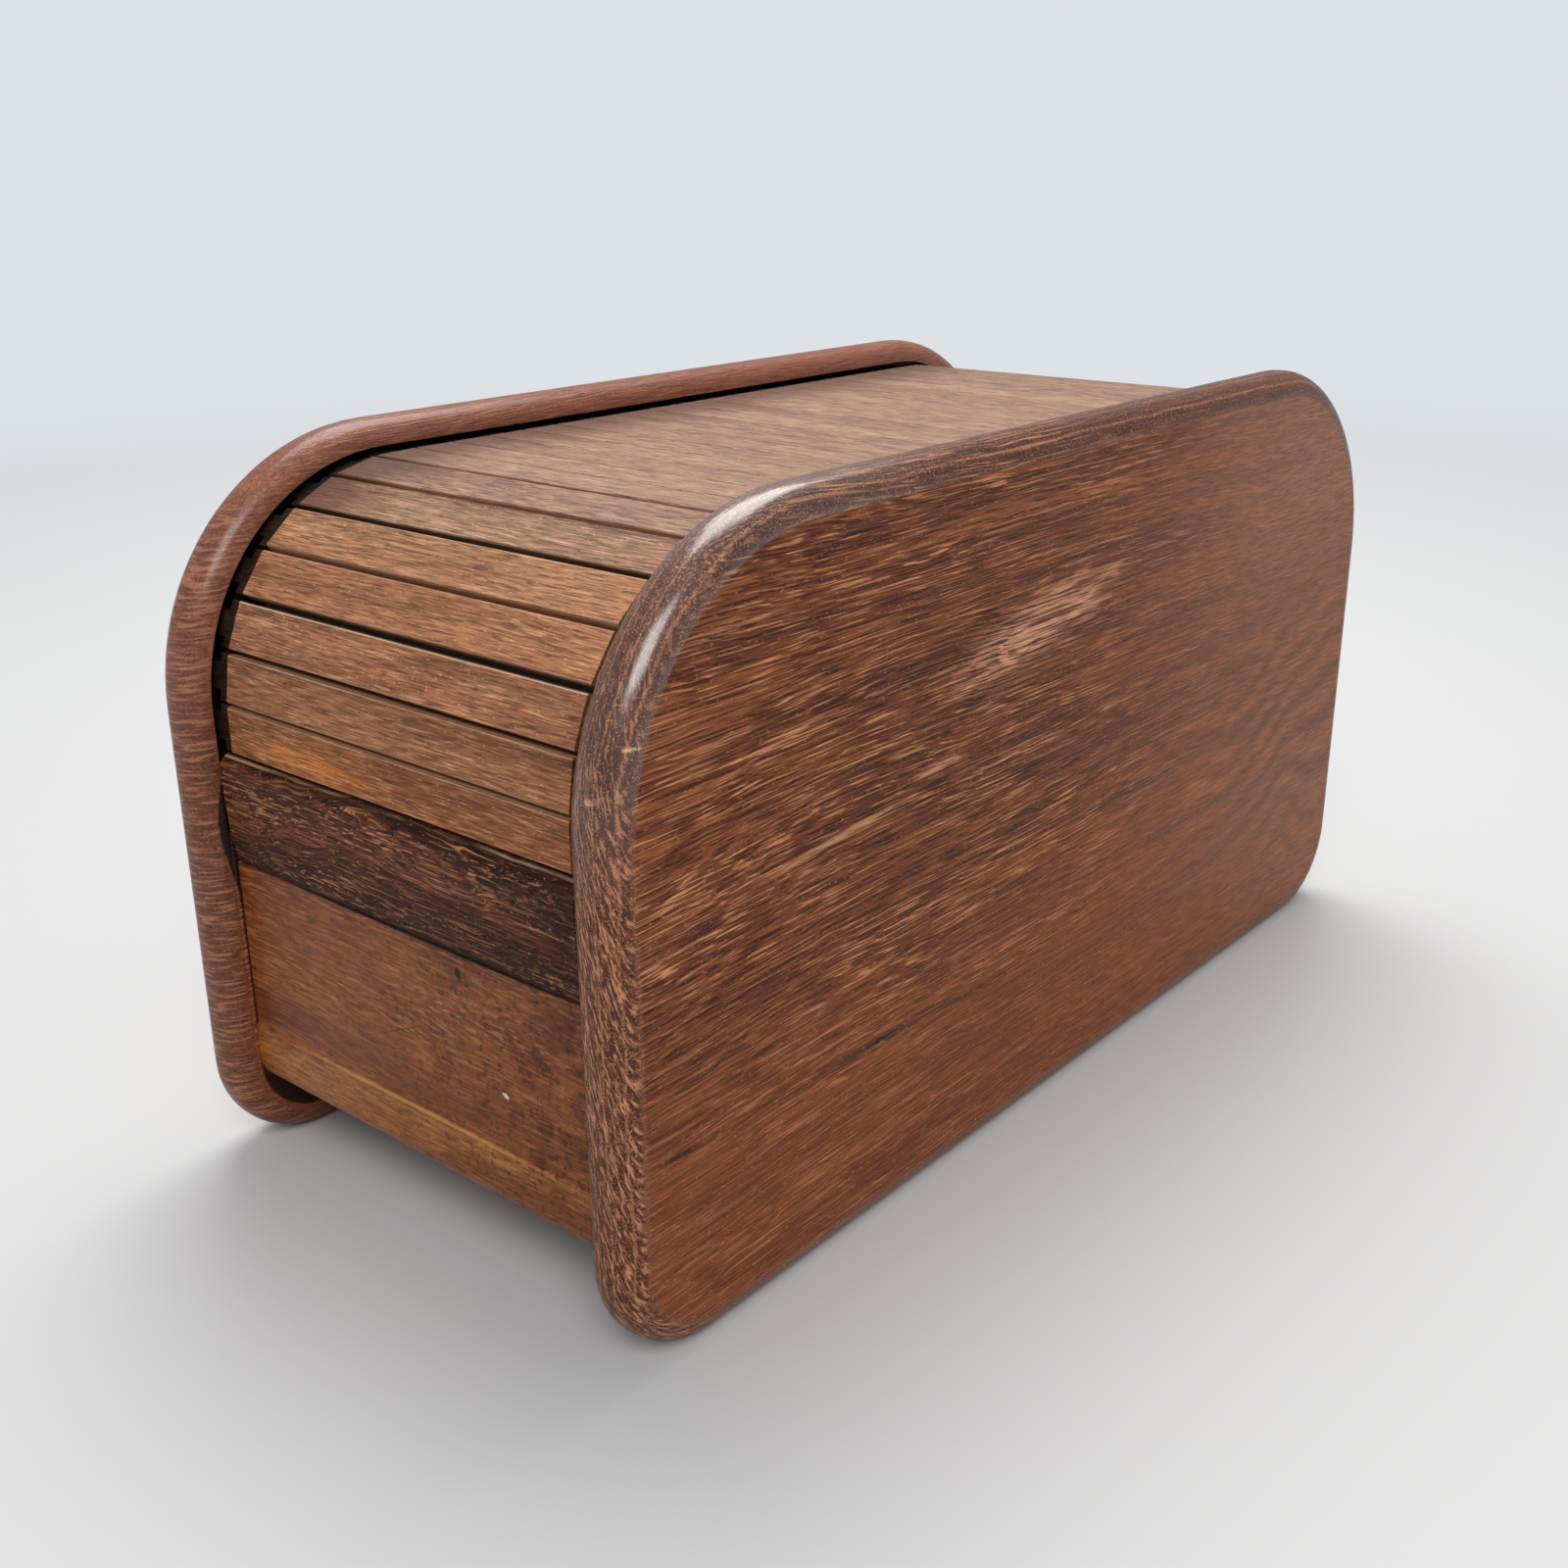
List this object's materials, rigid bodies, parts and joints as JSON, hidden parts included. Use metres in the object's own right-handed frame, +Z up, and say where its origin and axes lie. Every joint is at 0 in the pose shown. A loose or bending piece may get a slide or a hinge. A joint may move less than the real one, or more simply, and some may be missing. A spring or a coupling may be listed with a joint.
{
  "type": "tambour lid box",
  "caption": "Roll-top wooden box: a slatted curtain lid with a handle bar slides in grooves of two round-cornered side panels and rolls away behind the inner back",
  "frame": {"origin": "on the floor under the middle of the box", "axes": "+Z up, -Y is the front with the handle, +X is to the right of someone who faces the back, the two side panels stand across X"},
  "size_m": [0.1688, 0.374, 0.2],
  "materials": {
    "teak_panels": "oiled teak, reddish brown, soft sheen, worn",
    "teak_slats": "oiled teak, tan, bleached by light",
    "teak_handle": "teak darkened by hands, worn top edge",
    "teak_front": "oiled teak, warm orange brown",
    "thin_boards": "teak-faced plywood, oiled",
    "birch_dowels": "plain birch, unfinished",
    "canvas": "woven cotton canvas, dark grey, matt"
  },
  "bodies": {
    "case": {"front_board": "teak_front", "front_rail": "teak_front", "bottom_board": "thin_boards", "inner_floor": "thin_boards", "inner_back": "thin_boards", "back_board": "thin_boards", "front_board_dowels": "birch_dowels", "front_rail_dowels": "birch_dowels", "side_panel_left": "teak_panels", "side_panel_right": "teak_panels", "canvas_backing": "canvas"},
    "curtain_top": {"slat_08": "teak_slats", "slat_09": "teak_slats", "slat_10": "teak_slats", "slat_11": "teak_slats", "slat_12": "teak_slats", "slat_13": "teak_slats", "slat_14": "teak_slats", "slat_15": "teak_slats", "slat_16": "teak_slats", "slat_17": "teak_slats", "slat_18": "teak_slats", "slat_19": "teak_slats", "slat_20": "teak_slats", "slat_21": "teak_slats"},
    "handle": {"handle_bar": "teak_handle"},
    "slat_01_body": {"slat_01": "teak_slats"},
    "slat_02_body": {"slat_02": "teak_slats"},
    "slat_03_body": {"slat_03": "teak_slats"},
    "slat_04_body": {"slat_04": "teak_slats"},
    "slat_05_body": {"slat_05": "teak_slats"},
    "slat_06_body": {"slat_06": "teak_slats"},
    "slat_07_body": {"slat_07": "teak_slats"},
    "slat_22_body": {"slat_22": "teak_slats"},
    "slat_23_body": {"slat_23": "teak_slats"},
    "slat_24_body": {"slat_24": "teak_slats"},
    "slat_25_body": {"slat_25": "teak_slats"},
    "slat_26_body": {"slat_26": "teak_slats"},
    "slat_27_body": {"slat_27": "teak_slats"},
    "slat_28_body": {"slat_28": "teak_slats"},
    "slat_29_body": {"slat_29": "teak_slats"},
    "slat_30_body": {"slat_30": "teak_slats"},
    "slat_31_body": {"slat_31": "teak_slats"},
    "curtain_tail": {"slat_32": "teak_slats", "slat_33": "teak_slats"}
  },
  "joints": [
    {"name": "lid_travel", "type": "slide", "parent": "case", "child": "curtain_top", "axis": [0, 1, 0], "range_m": [0, 0.06], "deforming": ["canvas_backing"]},
    {"name": "handle_rise", "type": "hinge", "parent": "case", "child": "handle", "pos_m": [0, -0.07833, 0.11887], "axis": [-1, 0, 0], "range_deg": [0, 35.42]},
    {"name": "slat_01_turn", "type": "hinge", "parent": "case", "child": "slat_01_body", "pos_m": [0, -0.11526, 0.12952], "axis": [-1, 0, 0], "range_deg": [0, 57.98]},
    {"name": "slat_02_turn", "type": "hinge", "parent": "case", "child": "slat_02_body", "pos_m": [0, -0.119, 0.132], "axis": [-1, 0, 0], "range_deg": [0, 62.51]},
    {"name": "slat_03_turn", "type": "hinge", "parent": "case", "child": "slat_03_body", "pos_m": [0, -0.11892, 0.13191], "axis": [-1, 0, 0], "range_deg": [0, 62.37]},
    {"name": "slat_04_turn", "type": "hinge", "parent": "case", "child": "slat_04_body", "pos_m": [0, -0.11421, 0.12336], "axis": [-1, 0, 0], "range_deg": [0, 53.28]},
    {"name": "slat_05_turn", "type": "hinge", "parent": "case", "child": "slat_05_body", "pos_m": [0, -0.10756, 0.10194], "axis": [-1, 0, 0], "range_deg": [0, 39.74]},
    {"name": "slat_06_turn", "type": "hinge", "parent": "case", "child": "slat_06_body", "pos_m": [0, -0.10078, 0.05727], "axis": [-1, 0, 0], "range_deg": [0, 26.19]},
    {"name": "slat_07_turn", "type": "hinge", "parent": "case", "child": "slat_07_body", "pos_m": [0, -0.09342, -0.08368], "axis": [-1, 0, 0], "range_deg": [0, 12.65]},
    {"name": "slat_22_turn", "type": "hinge", "parent": "case", "child": "slat_22_body", "pos_m": [0, 0.08751, -0.32371], "axis": [-1, 0, 0], "range_deg": [0, 6.72]},
    {"name": "slat_23_turn", "type": "hinge", "parent": "case", "child": "slat_23_body", "pos_m": [0, 0.09637, 0.0294], "axis": [-1, 0, 0], "range_deg": [0, 21.61]},
    {"name": "slat_24_turn", "type": "hinge", "parent": "case", "child": "slat_24_body", "pos_m": [0, 0.10332, 0.09453], "axis": [-1, 0, 0], "range_deg": [0, 36.51]},
    {"name": "slat_25_turn", "type": "hinge", "parent": "case", "child": "slat_25_body", "pos_m": [0, 0.11001, 0.12147], "axis": [-1, 0, 0], "range_deg": [0, 51.4]},
    {"name": "slat_26_turn", "type": "hinge", "parent": "case", "child": "slat_26_body", "pos_m": [0, 0.11633, 0.13495], "axis": [-1, 0, 0], "range_deg": [0, 65.5]},
    {"name": "slat_27_turn", "type": "hinge", "parent": "case", "child": "slat_27_body", "pos_m": [0, 0.118, 0.137], "axis": [-1, 0, 0], "range_deg": [0, 68.76]},
    {"name": "slat_28_turn", "type": "hinge", "parent": "case", "child": "slat_28_body", "pos_m": [0, 0.11379, 0.13399], "axis": [-1, 0, 0], "range_deg": [0, 62.62]},
    {"name": "slat_29_turn", "type": "hinge", "parent": "case", "child": "slat_29_body", "pos_m": [0, 0.09752, 0.12739], "axis": [-1, 0, 0], "range_deg": [0, 47.77]},
    {"name": "slat_30_turn", "type": "hinge", "parent": "case", "child": "slat_30_body", "pos_m": [0, 0.06512, 0.12066], "axis": [-1, 0, 0], "range_deg": [0, 32.87]},
    {"name": "slat_31_turn", "type": "hinge", "parent": "case", "child": "slat_31_body", "pos_m": [0, -0.02192, 0.11357], "axis": [-1, 0, 0], "range_deg": [0, 17.97]},
    {"name": "tail_drop", "type": "slide", "parent": "case", "child": "curtain_tail", "axis": [0, 0, -1], "range_m": [0, 0.06]}
  ],
  "couplings": [
    {"joint": "handle_rise", "follows": "lid_travel", "rad_per_m": 10.303},
    {"joint": "slat_01_turn", "follows": "lid_travel", "rad_per_m": 16.867},
    {"joint": "slat_02_turn", "follows": "lid_travel", "rad_per_m": 18.182},
    {"joint": "slat_03_turn", "follows": "lid_travel", "rad_per_m": 18.143},
    {"joint": "slat_04_turn", "follows": "lid_travel", "rad_per_m": 15.498},
    {"joint": "slat_05_turn", "follows": "lid_travel", "rad_per_m": 11.559},
    {"joint": "slat_06_turn", "follows": "lid_travel", "rad_per_m": 7.6193},
    {"joint": "slat_07_turn", "follows": "lid_travel", "rad_per_m": 3.6799},
    {"joint": "slat_22_turn", "follows": "lid_travel", "rad_per_m": 1.9553},
    {"joint": "slat_23_turn", "follows": "lid_travel", "rad_per_m": 6.2854},
    {"joint": "slat_24_turn", "follows": "lid_travel", "rad_per_m": 10.619},
    {"joint": "slat_25_turn", "follows": "lid_travel", "rad_per_m": 14.952},
    {"joint": "slat_26_turn", "follows": "lid_travel", "rad_per_m": 19.053},
    {"joint": "slat_27_turn", "follows": "lid_travel", "rad_per_m": 20},
    {"joint": "slat_28_turn", "follows": "lid_travel", "rad_per_m": 18.214},
    {"joint": "slat_29_turn", "follows": "lid_travel", "rad_per_m": 13.895},
    {"joint": "slat_30_turn", "follows": "lid_travel", "rad_per_m": 9.5612},
    {"joint": "slat_31_turn", "follows": "lid_travel", "rad_per_m": 5.2279},
    {"joint": "tail_drop", "follows": "lid_travel", "ratio": 1}
  ]
}
